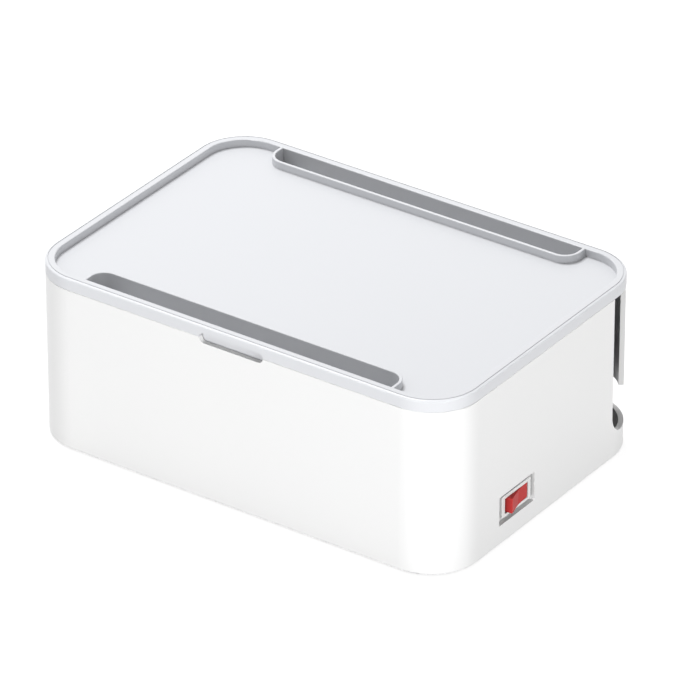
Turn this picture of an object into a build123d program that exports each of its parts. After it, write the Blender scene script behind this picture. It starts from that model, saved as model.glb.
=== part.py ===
from build123d import *
import os
from math import cos, radians, sin, tan

# A desk box that hides a power strip and its cords. The case is an open tub that stands on four
# rubber feet. A tray lid with two slots for phones lifts straight off. Inside, a four gang strip
# with USB ports is screwed to the floor, and its rocker switch looks out of a window in the side.
# Millimetres. X runs along the long side, the front faces -Y, the window faces +X and Z is up.
# The origin is the middle of the footprint, on the surface that the feet stand on.

# ---------------------------------------------------------------- driving dimensions

# Case
case_length = 300.0
case_depth = 209.0
case_height = 108.0
case_corner = 32.0
case_wall = 3.1
case_floor = 2.8
case_base_round = 1.2
case_floor_round = 2.0
seam_round = 0.4

# Rubber feet, glued into round recesses under the floor
foot_radius = 8.0
foot_thickness = 2.0
foot_stand = 0.8
foot_recess_gap = 0.2
foot_chamfer = 0.4
foot_inset_x = 36.0
foot_inset_y = 32.0

# Cable outlet at each rear corner: a slot that is open at the top, and a low wide opening that
# runs from the slot round the corner into the back
outlet_near = 35.0
outlet_slot_angle = 40.0
outlet_sill = 15.5
outlet_height = 21.3
outlet_sill_round = 12.0
outlet_back_reach = 56.0
outlet_back_round = 6.0

# Finger notch, half in the case and half in the lid
notch_length = 45.0
notch_height = 6.5

# Window for the rocker switch
window_length = 36.5
window_height = 19.2
window_round = 0.6
window_shift = -1.0

# Lid
lid_height = 7.8
lid_rim = 5.8
lid_skirt = 2.0
lid_top_wall = 2.0
lid_edge_round = 1.5
tray_depth = 5.0
rim_groove_inset = 1.5
rim_groove_width = 0.5
rim_groove_depth = 0.4
tray_floor = 2.2
lip_clearance = 0.5
lip_thickness = 1.8
lip_drop = 7.0
lip_corner_gap_x = 38.0
lip_corner_gap_y = 44.0
lid_rib_thickness = 1.6
lid_rib_drop = 3.0
lid_rib_pitch = 46.0

# Phone slots in the lid
pocket_length = 216.0
pocket_width = 14.2
pocket_depth = 14.0
pocket_wall = 2.0
pocket_floor = 2.0
pocket_corner = 9.0
pocket_wall_round = 0.6

# Power strip housing
strip_length = 271.7
strip_width = 62.0
strip_height = 40.0
strip_base_height = 8.0
strip_corner = 9.0
strip_wall = 2.2
strip_top_wall = 2.4
strip_floor = 1.8
strip_top_round = 3.0
strip_base_round = 1.5
strip_offset_y = -30.25
strip_end_gap = 0.2

# Pads and screws that hold the strip to the case
pad_height = 1.7
pad_radius = 7.0
mount_reach_y = 21.0
mount_boss_radius = 4.2
mount_boss_height = 7.7
mount_screw_radius = 1.75
mount_screw_length = 9.0
mount_tip_gap = 0.4
mount_head_radius = 3.5
mount_head_height = 1.8
mount_head_sunk = 0.4

# Screws that close the strip
case_screw_radius = 1.5
case_screw_length = 22.0
case_screw_head_radius = 2.8
case_screw_head_height = 2.0
case_screw_head_sunk = 0.3
case_screw_reach_y = 24.4
case_boss_radius = 4.2
case_boss_height = 7.0
case_post_radius = 3.3
screw_head_chamfer = 0.5
screw_clearance = 0.15
thread_clearance = 0.05

# Sockets: round wells for two pins and two side earth clips, turned by socket_turn
socket_count = 4
socket_pitch = 46.0
socket_first = 29.0
socket_turn = 45.0
well_radius = 19.3
well_depth = 17.5
cup_wall = 1.9
cup_floor = 2.0
cup_flange = 1.8
cup_flange_thickness = 1.2
cup_clearance = 0.3
cup_seat_gap = 0.1
pin_spacing = 19.0
pin_hole_radius = 2.8
guide_width = 4.6
guide_height = 1.6
guide_shortfall = 1.5
clip_window_width = 5.2
clip_window_height = 13.0

# Contact rails
rail_thickness = 0.8
rail_height = 8.0
rail_overlap = 0.2
rail_end_reach = 20.0
rib_end_reach = 17.0
rib_thickness = 2.0
rib_reach_y = 14.0
rib_grip = 2.0
rib_slot_clearance = 0.1
sleeve_bore = 2.45
sleeve_wall = 0.7
sleeve_slit = 1.0
sleeve_gap = 0.5
sleeve_height = 12.3
earth_width = 5.0
earth_end_reach = 9.0
clip_width = 4.4
clip_reach = 18.5
clip_bulge = 2.2
clip_height = 14.0
clip_bend_height = 4.2
clip_bulge_height = 10.5

# Rocker switch
bezel_length = 30.0
bezel_height = 14.8
bezel_thickness = 2.3
bezel_round = 1.0
bezel_edge_round = 0.5
bezel_sunk = 1.0
switch_length = 27.4
switch_height = 12.6
switch_rise = 17.9
switch_room = 16.5
switch_back_wall = 3.0
switch_cut_clearance = 0.3
barb_gap = 0.2
barb_height = 0.9
barb_length = 4.0
barb_width = 5.0
rocker_opening_length = 24.0
rocker_opening_height = 10.5
rocker_side_gap = 0.2
rocker_pivot_depth = 5.0
rocker_tilt = 10.0
rocker_half_length = 10.7
rocker_crown_rise = 0.8
rocker_crown_slope = 5.0
rocker_skirt = 1.5
rocker_skirt_taper = 0.5
rocker_wall = 1.4
rocker_ear = 2.6
rocker_edge_round = 0.4
stub_radius = 1.5
stub_length = 0.9
stub_clearance = 0.05
plunger_radius = 1.2
plunger_reach = 5.6
plunger_length = 5.4
plunger_sleeve_wall = 0.7
plunger_clearance = 0.06
spring_wire = 0.18
spring_turns = 5
spring_coil = 0.95
lamp_radius = 1.4
lamp_length = 5.0
lamp_end_round = 0.7
lamp_offset = 5.5
lamp_gap = 0.3
blade_half_length = 8.5
blade_thickness = 0.8
blade_width = 5.0
blade_gap = 0.06
button_radius = 1.2
button_reach = 7.2
button_height = 0.5
contact_gap = 0.05
contact_foot = 3.2
contact_foot_thickness = 0.5
tab_width = 4.8
tab_thickness = 0.8
tab_reach = 8.5
tab_slot_clearance = 0.1

# USB supply
board_length = 38.0
board_width = 42.0
board_thickness = 1.6
board_from_last_socket = 46.0
column_radius = 2.5
column_inset = 3.0
port_sunk = 0.7
port_height = 16.0
port_clearance = 0.25
usb_a_length = 13.1
usb_a_width = 5.7
usb_a_wall = 0.4
usb_a_tongue_length = 11.2
usb_a_tongue_width = 1.9
usb_c_length = 8.9
usb_c_width = 3.2
usb_c_wall = 0.3
usb_c_tongue_length = 6.7
usb_c_tongue_width = 0.7
tongue_sunk = 1.0
port_block_height = 6.0
port_pitch = 12.5
transformer_length = 17.0
transformer_width = 15.0
transformer_height = 12.0
core_wall = 3.0
capacitor_radius = 4.0
capacitor_height = 11.0
capacitor_pitch = 18.0
capacitor_shift = 12.0
capacitor_round = 0.6
transformer_shift = 6.0

# Wires inside the strip
link_wire_radius = 1.2
link_wire_bend = 3.5
usb_wire_radius = 0.7
usb_wire_bend = 1.3
usb_lead_rise = 3.0
wire_gap = 0.1

# Gland for the supply cord
gland_bore = 3.6
gland_neck = 5.9
gland_flange = 8.0
gland_flange_thickness = 2.0
gland_edge_round = 1.0
gland_inner_flange = 7.4
gland_clearance = 0.1
gland_height = 20.7

# ---------------------------------------------------------------- levels and places

case_bottom = foot_stand
floor_top = case_bottom + case_floor
seam = case_bottom + case_height
lid_top = seam + lid_height
side_x = case_length / 2
back_y = case_depth / 2
corner_x = side_x - case_corner
corner_y = back_y - case_corner
outlet_low = case_bottom + outlet_sill
outlet_high = outlet_low + outlet_height
outlet_near_y = back_y - outlet_near
reach_out = 5.0
cut_over = 1.0

strip_right = side_x - case_wall - strip_end_gap
strip_left = strip_right - strip_length
strip_middle_x = (strip_left + strip_right) / 2
strip_bottom = floor_top + pad_height
strip_split = strip_bottom + strip_base_height
strip_top = strip_bottom + strip_height
strip_inside_length = strip_length - 2 * strip_wall
strip_inside_width = strip_width - 2 * strip_wall
strip_inside_low = strip_bottom + strip_floor
strip_inside_high = strip_top - strip_top_wall

socket_xs = [strip_left + socket_first + i * socket_pitch for i in range(socket_count)]
well_floor = strip_top - well_depth
cup_bottom = well_floor - cup_floor
cup_radius = well_radius + cup_wall
cup_flange_low = strip_inside_high - cup_seat_gap - cup_flange_thickness
board_x = socket_xs[-1] + board_from_last_socket
mount_ys = [strip_offset_y - mount_reach_y, strip_offset_y + mount_reach_y]
mount_points = [(x, y) for x in (socket_xs[0], board_x) for y in mount_ys]
screw_xs = [socket_xs[0] + socket_pitch / 2 + i * 2 * socket_pitch for i in range(3)]
screw_ys = [strip_offset_y - case_screw_reach_y, strip_offset_y + case_screw_reach_y]
screw_points = [(x, y) for x in screw_xs for y in screw_ys]
boss_top = strip_bottom + case_boss_height
mount_head_low = case_bottom + mount_head_sunk
mount_tip = mount_head_low + mount_head_height + mount_screw_length

pin_reach_x = pin_spacing / 2 * cos(radians(socket_turn))
pin_reach_y = pin_spacing / 2 * sin(radians(socket_turn))
sleeve_top = cup_bottom - sleeve_gap
rail_bottom = sleeve_top - sleeve_height
rail_reach_y = pin_reach_y + sleeve_bore + sleeve_wall - rail_overlap + rail_thickness / 2
rail_left = socket_xs[0] - rail_end_reach
rail_right = socket_xs[-1] + rail_end_reach
rib_xs = [x + socket_pitch / 2 for x in socket_xs[:-1]]
rib_xs += [socket_xs[0] - rib_end_reach, socket_xs[-1] + rib_end_reach]

port_top = strip_top - port_sunk
board_top = port_top - port_height
board_bottom = board_top - board_thickness
usb_a_points = [(board_x, strip_offset_y - port_pitch), (board_x, strip_offset_y)]
usb_c_point = (board_x, strip_offset_y + port_pitch)
usb_a_inside_length = usb_a_length - 2 * usb_a_wall
usb_a_inside_width = usb_a_width - 2 * usb_a_wall
usb_c_inside_length = usb_c_length - 2 * usb_c_wall
usb_c_inside_width = usb_c_width - 2 * usb_c_wall
core_inside_length = transformer_length - 2 * core_wall
core_inside_height = transformer_height - 2 * core_wall
usb_lead_z = rail_bottom + rail_height + usb_lead_rise
gland_z = strip_bottom + gland_height

switch_y = strip_offset_y
switch_z = strip_bottom + switch_rise
bezel_face = side_x - bezel_sunk
bezel_back = bezel_face - bezel_thickness
switch_floor = bezel_face - switch_room
switch_back = switch_floor - switch_back_wall
pivot_x = bezel_face - rocker_pivot_depth
blade_axis_x = pivot_x - plunger_reach - blade_gap - blade_thickness
tilt = radians(rocker_tilt)
crown_slope = radians(rocker_crown_slope)
crown_middle = rocker_pivot_depth + rocker_crown_rise
tab_ys = [switch_y - button_reach, switch_y, switch_y + button_reach]
button_low = button_height * cos(tilt) + (button_reach + button_radius) * sin(tilt)
contact_x = blade_axis_x - button_low - contact_gap

# ---------------------------------------------------------------- case

# One outlet, cut at the +X rear corner and mirrored to the other
with BuildPart() as outlet:
    with BuildSketch(Plane.YZ.offset(corner_x)) as side_opening:
        with BuildLine():
            Polyline(
                (outlet_near_y, outlet_low),
                (back_y + reach_out, outlet_low),
                (back_y + reach_out, outlet_high),
                (outlet_near_y, outlet_high),
                close=True,
            )
        make_face()
        fillet(side_opening.vertices().group_by(Axis.X)[0].sort_by(Axis.Y)[0], outlet_sill_round)
    extrude(amount=case_corner + reach_out)
    with BuildSketch(Plane.XZ.offset(-back_y - reach_out)) as back_opening:
        with BuildLine():
            Polyline(
                (side_x - outlet_back_reach, outlet_low),
                (corner_x + case_wall, outlet_low),
                (corner_x + case_wall, outlet_high),
                (side_x - outlet_back_reach, outlet_high),
                close=True,
            )
        make_face()
        fillet(back_opening.vertices().group_by(Axis.X)[0], outlet_back_round)
    extrude(amount=reach_out + 2 * case_wall)
    with BuildSketch(Plane.XY.offset(outlet_high - case_wall)):
        with BuildLine():
            slot_cos = cos(radians(outlet_slot_angle))
            slot_sin = sin(radians(outlet_slot_angle))
            slot_inner = case_corner - 2 * case_wall
            slot_outer = case_corner + 3 * reach_out
            Polyline(
                (corner_x + slot_inner * slot_cos, outlet_near_y),
                (corner_x + slot_outer * slot_cos, outlet_near_y),
                (corner_x + slot_outer * slot_cos, corner_y + slot_outer * slot_sin),
                (corner_x + slot_inner * slot_cos, corner_y + slot_inner * slot_sin),
                close=True,
            )
        make_face()
    extrude(amount=seam + reach_out - outlet_high + case_wall)

with BuildPart() as box_shell:
    with BuildSketch(Plane.XY.offset(case_bottom)):
        RectangleRounded(case_length, case_depth, case_corner)
    extrude(amount=case_height)
    fillet(box_shell.faces().sort_by(Axis.Z)[0].edges(), case_base_round)
    fillet(box_shell.faces().sort_by(Axis.Z)[-1].edges(), seam_round)
    with BuildSketch(Plane.XY.offset(floor_top)):
        RectangleRounded(case_length - 2 * case_wall, case_depth - 2 * case_wall, case_corner - case_wall)
    extrude(amount=case_height, mode=Mode.SUBTRACT)
    fillet(box_shell.faces().filter_by(Plane.XY).sort_by(Axis.Z)[1].edges(), case_floor_round)
    add(outlet.part, mode=Mode.SUBTRACT)
    add(outlet.part.mirror(Plane.YZ), mode=Mode.SUBTRACT)
    # Finger notch in the top edge of the front wall
    with BuildSketch(Plane.XZ.offset(back_y + reach_out)):
        with Locations((0, seam)):
            SlotOverall(notch_length, notch_height)
    extrude(amount=-(reach_out + 2 * case_wall), mode=Mode.SUBTRACT)
    # Window for the switch
    with BuildSketch(Plane.YZ.offset(side_x + reach_out)):
        with Locations((switch_y + window_shift, switch_z)):
            RectangleRounded(window_length, window_height, window_round)
    extrude(amount=-(reach_out + 2 * case_wall), mode=Mode.SUBTRACT)
    # Pads under the strip, with its mounting screws sunk from below
    with BuildSketch(Plane.XY.offset(floor_top)):
        with Locations(*mount_points):
            Circle(pad_radius)
    extrude(amount=pad_height)
    with Locations(*[Location((x, y, case_bottom), (180, 0, 0)) for x, y in mount_points]):
        CounterBoreHole(
            radius=mount_screw_radius + screw_clearance,
            counter_bore_radius=mount_head_radius + screw_clearance,
            counter_bore_depth=mount_head_sunk + mount_head_height,
        )
    # Recesses for the feet
    with Locations(Location((0, 0, case_bottom), (180, 0, 0))):
        with GridLocations(case_length - 2 * foot_inset_x, case_depth - 2 * foot_inset_y, 2, 2):
            Hole(radius=foot_radius + foot_recess_gap, depth=foot_thickness - foot_stand)

with BuildPart() as rubber_feet:
    with BuildSketch(Plane.XY):
        with GridLocations(case_length - 2 * foot_inset_x, case_depth - 2 * foot_inset_y, 2, 2):
            Circle(foot_radius)
    extrude(amount=foot_thickness)
    chamfer(rubber_feet.edges().group_by(Axis.Z)[0], foot_chamfer)

# ---------------------------------------------------------------- lid

lip_outer = case_wall + lip_clearance
lip_inner = lip_outer + lip_thickness
tray_top = lid_top - tray_depth
tray_under = tray_top - tray_floor
pocket_bottom = lid_top - pocket_depth
pocket_back = back_y - lid_rim
pocket_front = pocket_back - pocket_width


def ring(outer_inset, inner_inset):
    """Draws the band between two insets of the case's outline in the open sketch."""
    RectangleRounded(case_length - 2 * outer_inset, case_depth - 2 * outer_inset, case_corner - outer_inset)
    RectangleRounded(
        case_length - 2 * inner_inset,
        case_depth - 2 * inner_inset,
        case_corner - inner_inset,
        mode=Mode.SUBTRACT,
    )


# One phone slot at the back, outside and inside, mirrored to the front
with BuildPart() as pocket_block:
    with BuildSketch(Plane.XY.offset(pocket_bottom - pocket_floor)) as pocket_outside:
        with Locations((0, back_y - lip_outer)):
            Rectangle(
                pocket_length + 2 * pocket_wall,
                back_y - lip_outer - pocket_front + pocket_wall,
                align=(Align.CENTER, Align.MAX),
            )
        fillet(pocket_outside.vertices().group_by(Axis.Y)[0], pocket_corner + pocket_wall)
    extrude(amount=pocket_depth + pocket_floor)

with BuildPart() as pocket_void:
    with BuildSketch(Plane.XY.offset(pocket_bottom)) as pocket_inside:
        with Locations((0, pocket_back)):
            Rectangle(pocket_length, pocket_width, align=(Align.CENTER, Align.MAX))
        fillet(pocket_inside.vertices().group_by(Axis.Y)[0], pocket_corner)
    extrude(amount=pocket_depth + cut_over)

with BuildPart() as lid_tray:
    with BuildSketch(Plane.XY.offset(seam)):
        RectangleRounded(case_length, case_depth, case_corner)
    extrude(amount=lid_height)
    fillet(lid_tray.faces().sort_by(Axis.Z)[-1].edges(), lid_edge_round)
    fillet(lid_tray.faces().sort_by(Axis.Z)[0].edges(), seam_round)
    with BuildSketch(Plane.XY.offset(tray_top)):
        RectangleRounded(case_length - 2 * lid_rim, case_depth - 2 * lid_rim, case_corner - lid_rim)
    extrude(amount=tray_depth, mode=Mode.SUBTRACT)
    # Hollow underside, and the channel between the skirt and the lip
    with BuildSketch(Plane.XY.offset(seam - cut_over)):
        RectangleRounded(case_length - 2 * lip_inner, case_depth - 2 * lip_inner, case_corner - lip_inner)
    extrude(amount=tray_under - seam + cut_over, mode=Mode.SUBTRACT)
    with BuildSketch(Plane.XY.offset(seam - cut_over)):
        ring(lid_skirt, lip_outer)
    extrude(amount=lid_height - lid_top_wall + cut_over, mode=Mode.SUBTRACT)
    # Lip that drops inside the case, left out at the corners, where the cables pass
    with BuildSketch(Plane.XY.offset(seam - lip_drop)):
        ring(lip_outer, lip_inner)
        with BuildSketch(mode=Mode.INTERSECT):
            Rectangle(case_length - 2 * lip_corner_gap_x, case_depth)
            Rectangle(case_length, case_depth - 2 * lip_corner_gap_y)
    extrude(amount=lip_drop + tray_under - seam)

    # Phone slots
    add(pocket_block.part)
    add(pocket_block.part.mirror(Plane.XZ))
    add(pocket_void.part, mode=Mode.SUBTRACT)
    add(pocket_void.part.mirror(Plane.XZ), mode=Mode.SUBTRACT)
    # Softened top edges round the tray and the slots
    rim_top = lid_tray.faces().sort_by(Axis.Z)[-1]
    fillet([edge for wire in rim_top.inner_wires() for edge in wire.edges()], pocket_wall_round)
    # Fine groove round the rim, where its flat top meets the rounded edge
    with BuildSketch(Plane.XY.offset(lid_top - rim_groove_depth)):
        ring(rim_groove_inset, rim_groove_inset + rim_groove_width)
    extrude(amount=rim_groove_depth + cut_over, mode=Mode.SUBTRACT)
    # Ribs under the tray
    with BuildSketch(Plane.XY.offset(tray_under - lid_rib_drop)):
        with GridLocations(lid_rib_pitch, 0, 5, 1):
            Rectangle(lid_rib_thickness, 2 * (pocket_front - pocket_wall))
    extrude(amount=lid_rib_drop)
    # Upper half of the finger notch, through the skirt to the face of the lip
    with BuildSketch(Plane.XZ.offset(back_y + reach_out)):
        with Locations((0, seam)):
            SlotOverall(notch_length, notch_height)
    extrude(amount=-(reach_out + lip_outer), mode=Mode.SUBTRACT)

# ---------------------------------------------------------------- power strip housing

with BuildPart() as strip_base:
    with BuildSketch(Plane.XY.offset(strip_bottom)):
        with Locations((strip_middle_x, strip_offset_y)):
            RectangleRounded(strip_length, strip_width, strip_corner)
    extrude(amount=strip_base_height)
    fillet(strip_base.faces().sort_by(Axis.Z)[0].edges(), strip_base_round)
    with BuildSketch(Plane.XY.offset(strip_inside_low)):
        with Locations((strip_middle_x, strip_offset_y)):
            RectangleRounded(strip_inside_length, strip_inside_width, strip_corner - strip_wall)
    extrude(amount=strip_base_height, mode=Mode.SUBTRACT)
    # Bosses for the closing screws
    with BuildSketch(Plane.XY.offset(strip_inside_low)):
        with Locations(*screw_points):
            Circle(case_boss_radius)
    extrude(amount=boss_top - strip_inside_low)
    # Bosses for the screws from the case
    with BuildSketch(Plane.XY.offset(strip_inside_low)):
        with Locations(*mount_points):
            Circle(mount_boss_radius)
    extrude(amount=strip_bottom + mount_boss_height - strip_inside_low)
    # Cross ribs that grip the two contact rails
    with BuildSketch(Plane.XY.offset(strip_inside_low)):
        with Locations(*[(x, strip_offset_y) for x in rib_xs]):
            Rectangle(rib_thickness, 2 * rib_reach_y)
    extrude(amount=rail_bottom + rib_grip - strip_inside_low)
    with BuildSketch(Plane.XY.offset(rail_bottom)):
        with Locations(*[(x, strip_offset_y + side * rail_reach_y) for x in rib_xs for side in (-1, 1)]):
            Rectangle(2 * rib_thickness, rail_thickness + 2 * rib_slot_clearance)
    extrude(amount=rib_grip, mode=Mode.SUBTRACT)
    # Columns for the circuit board
    with BuildSketch(Plane.XY.offset(strip_inside_low)):
        with Locations((board_x, strip_offset_y)):
            with GridLocations(board_length - 2 * column_inset, board_width - 2 * column_inset, 2, 2):
                Circle(column_radius)
    extrude(amount=board_bottom - strip_inside_low)
    with Locations(*[Location((x, y, strip_bottom), (180, 0, 0)) for x, y in screw_points]):
        CounterBoreHole(
            radius=case_screw_radius + screw_clearance,
            counter_bore_radius=case_screw_head_radius + screw_clearance,
            counter_bore_depth=case_screw_head_sunk + case_screw_head_height,
        )
    with Locations(*[Location((x, y, strip_bottom), (180, 0, 0)) for x, y in mount_points]):
        Hole(radius=mount_screw_radius + thread_clearance, depth=mount_tip + mount_tip_gap - strip_bottom)

with BuildPart() as strip_cover:
    with BuildSketch(Plane.XY.offset(strip_split)):
        with Locations((strip_middle_x, strip_offset_y)):
            RectangleRounded(strip_length, strip_width, strip_corner)
    extrude(amount=strip_top - strip_split)
    fillet(strip_cover.faces().sort_by(Axis.Z)[-1].edges(), strip_top_round)
    with BuildSketch(Plane.XY.offset(strip_split)):
        with Locations((strip_middle_x, strip_offset_y)):
            RectangleRounded(strip_inside_length, strip_inside_width, strip_corner - strip_wall)
    extrude(amount=strip_inside_high - strip_split, mode=Mode.SUBTRACT)
    # Posts for the closing screws
    with BuildSketch(Plane.XY.offset(boss_top)):
        with Locations(*screw_points):
            Circle(case_post_radius)
    extrude(amount=strip_inside_high - boss_top)
    with Locations(*[Location((x, y, boss_top), (180, 0, 0)) for x, y in screw_points]):
        Hole(radius=case_screw_radius + thread_clearance, depth=case_screw_length)
    # Holes over the wells and the ports
    with BuildSketch(Plane.XY.offset(strip_inside_high)):
        with Locations(*[(x, strip_offset_y) for x in socket_xs]):
            Circle(cup_radius + cup_clearance)
        with Locations(*usb_a_points):
            Rectangle(usb_a_length + 2 * port_clearance, usb_a_width + 2 * port_clearance)
        with Locations(usb_c_point):
            SlotOverall(usb_c_length + 2 * port_clearance, usb_c_width + 2 * port_clearance)
    extrude(amount=strip_top_wall, mode=Mode.SUBTRACT)
    # Cut-out for the switch, and the round hole for the cord gland at the other end
    with BuildSketch(Plane.YZ.offset(strip_right)):
        with Locations((switch_y, switch_z)):
            Rectangle(switch_length + 2 * switch_cut_clearance, switch_height + 2 * switch_cut_clearance)
    extrude(amount=-strip_wall, mode=Mode.SUBTRACT)
    with BuildSketch(Plane.YZ.offset(strip_left)):
        with Locations((strip_offset_y, gland_z)):
            Circle(gland_neck + gland_clearance)
    extrude(amount=strip_wall, mode=Mode.SUBTRACT)

with BuildPart() as strip_screws:
    with BuildSketch(Plane.XY.offset(strip_bottom + case_screw_head_sunk)):
        with Locations(*screw_points):
            Circle(case_screw_head_radius)
    extrude(amount=case_screw_head_height)
    chamfer(strip_screws.edges().group_by(Axis.Z)[0], screw_head_chamfer)
    with BuildSketch(Plane.XY.offset(strip_bottom + case_screw_head_sunk)):
        with Locations(*screw_points):
            Circle(case_screw_radius)
    extrude(amount=case_screw_length)

with BuildPart() as mount_screws:
    with BuildSketch(Plane.XY.offset(case_bottom + mount_head_sunk)):
        with Locations(*mount_points):
            Circle(mount_head_radius)
    extrude(amount=mount_head_height)
    chamfer(mount_screws.edges().group_by(Axis.Z)[0], screw_head_chamfer)
    with BuildSketch(Plane.XY.offset(case_bottom + mount_head_sunk)):
        with Locations(*mount_points):
            Circle(mount_screw_radius)
    extrude(amount=mount_head_height + mount_screw_length)

# ---------------------------------------------------------------- sockets

socket_cups = []
for x in socket_xs:
    cup_base = Plane(origin=(x, strip_offset_y, cup_bottom)).rotated((0, 0, socket_turn))
    with BuildPart() as cup:
        with BuildSketch(cup_base):
            Circle(cup_radius)
        extrude(amount=strip_top - cup_bottom)
        with BuildSketch(cup_base.offset(cup_flange_low - cup_bottom)):
            Circle(cup_radius + cup_flange)
        extrude(amount=cup_flange_thickness)
        with BuildSketch(cup_base.offset(cup_floor)):
            Circle(well_radius)
        extrude(amount=well_depth, mode=Mode.SUBTRACT)
        # Guides that keep a plug from turning
        with BuildSketch(cup_base.offset(cup_floor)):
            with PolarLocations(well_radius - guide_height / 2, 2):
                Rectangle(guide_height + cup_wall, guide_width)
            Circle(cup_radius, mode=Mode.INTERSECT)
        extrude(amount=well_depth - guide_shortfall)
        # Pin holes, and a window for each earth clip
        with BuildSketch(cup_base):
            with PolarLocations(pin_spacing / 2, 2):
                Circle(pin_hole_radius)
        extrude(amount=cup_floor, mode=Mode.SUBTRACT)
        with BuildSketch(cup_base):
            with PolarLocations(cup_radius, 2, start_angle=90):
                Rectangle(2 * (cup_radius - well_radius + clip_bulge), clip_window_width)
        extrude(amount=cup_floor + clip_window_height, mode=Mode.SUBTRACT)
    socket_cups.append(cup)

# Live and neutral rails: a brass strip on edge with a split sleeve under each pin hole
contact_rails = []
for side in (-1, 1):
    with BuildPart() as rail:
        with BuildSketch(Plane.XY.offset(rail_bottom)):
            with Locations(((rail_left + rail_right) / 2, strip_offset_y + side * rail_reach_y)):
                Rectangle(rail_right - rail_left, rail_thickness)
        extrude(amount=rail_height)
        with BuildSketch(Plane.XY.offset(rail_bottom)):
            sleeve_y = strip_offset_y + side * pin_reach_y
            with Locations(*[(x + side * pin_reach_x, sleeve_y) for x in socket_xs]):
                Circle(sleeve_bore + sleeve_wall)
                Circle(sleeve_bore, mode=Mode.SUBTRACT)
            with Locations(*[(x + side * pin_reach_x, strip_offset_y) for x in socket_xs]):
                Rectangle(sleeve_slit, 2 * pin_reach_y, mode=Mode.SUBTRACT)
        extrude(amount=sleeve_top - rail_bottom)
    contact_rails.append(rail)
live_rail, neutral_rail = contact_rails

# Earth rail: a flat strip with a bent strap across it under each well, whose ends rise as clips
with BuildPart() as earth_rail:
    with BuildSketch(Plane.XY.offset(cup_bottom - rail_thickness)):
        with Locations(((socket_xs[0] + socket_xs[-1]) / 2, strip_offset_y)):
            Rectangle(socket_xs[-1] - socket_xs[0] + 2 * earth_end_reach, earth_width)
    extrude(amount=rail_thickness)
    for x in socket_xs:
        strap_plane = Plane(
            origin=(x, strip_offset_y, cup_bottom - rail_thickness / 2),
            x_dir=(-sin(radians(socket_turn)), cos(radians(socket_turn)), 0),
            z_dir=(cos(radians(socket_turn)), sin(radians(socket_turn)), 0),
        )
        with BuildSketch(strap_plane):
            with BuildLine():
                Polyline(
                    (-clip_reach + clip_bulge / 2, clip_height),
                    (-clip_reach + clip_bulge, clip_bulge_height),
                    (-clip_reach, clip_bend_height),
                    (-clip_reach, 0),
                    (clip_reach, 0),
                    (clip_reach, clip_bend_height),
                    (clip_reach - clip_bulge, clip_bulge_height),
                    (clip_reach - clip_bulge / 2, clip_height),
                )
            trace(line_width=rail_thickness)
        extrude(amount=clip_width / 2, both=True)

# ---------------------------------------------------------------- rocker switch

with BuildPart() as switch_housing:
    with BuildSketch(Plane.YZ.offset(bezel_back)):
        with Locations((switch_y, switch_z)):
            RectangleRounded(bezel_length, bezel_height, bezel_round)
    extrude(amount=bezel_thickness)
    fillet(switch_housing.faces().sort_by(Axis.X)[-1].edges(), bezel_edge_round)
    with BuildSketch(Plane.YZ.offset(switch_back)):
        with Locations((switch_y, switch_z)):
            Rectangle(switch_length, switch_height)
    extrude(amount=bezel_back - switch_back)
    # Snap barbs behind the strip's end wall
    with BuildSketch(Plane.XY.offset(switch_z)):
        for side in (-1, 1):
            with BuildLine():
                barb_x = strip_right - strip_wall - barb_gap
                barb_y = switch_y + side * switch_length / 2
                Polyline(
                    (barb_x, barb_y),
                    (barb_x, barb_y + side * barb_height),
                    (barb_x - barb_length, barb_y),
                    close=True,
                )
            make_face()
    extrude(amount=barb_width / 2, both=True)
    # Room for the rocker and the contacts
    with BuildSketch(Plane.YZ.offset(switch_floor)):
        with Locations((switch_y, switch_z)):
            Rectangle(rocker_opening_length, rocker_opening_height)
    extrude(amount=switch_room, mode=Mode.SUBTRACT)
    with BuildSketch(Plane.XY.offset(switch_z)):
        with Locations((pivot_x, switch_y)):
            Circle(stub_radius + stub_clearance)
    extrude(amount=switch_height, both=True, mode=Mode.SUBTRACT)
    # Stop for the blade's idle end, and slots for the three tabs
    with BuildSketch(Plane.YZ.offset(switch_floor)):
        with Locations((switch_y + button_reach + contact_foot / 2, switch_z)):
            Rectangle(contact_foot, rocker_opening_height)
    extrude(amount=contact_x - switch_floor)
    with BuildSketch(Plane.YZ.offset(switch_back)):
        with Locations(*[(y, switch_z) for y in tab_ys]):
            Rectangle(tab_thickness + 2 * tab_slot_clearance, tab_width + 2 * tab_slot_clearance)
    extrude(amount=switch_back_wall, mode=Mode.SUBTRACT)

# The rocker is drawn level in its own plane, which is tilted to rest with its rear end pressed
rocker_plane = Plane(
    origin=(pivot_x, switch_y, switch_z),
    x_dir=(cos(tilt), sin(tilt), 0),
    z_dir=(0, 0, 1),
)
rocker_axis = Plane(origin=rocker_plane.origin, z_dir=rocker_plane.x_dir)
rocker_width = rocker_opening_height - 2 * rocker_side_gap
rocker_end = crown_middle + rocker_half_length * tan(crown_slope)
skirt_half = rocker_half_length - rocker_skirt_taper
bore_end = rocker_pivot_depth - 2 * rocker_wall

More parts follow.
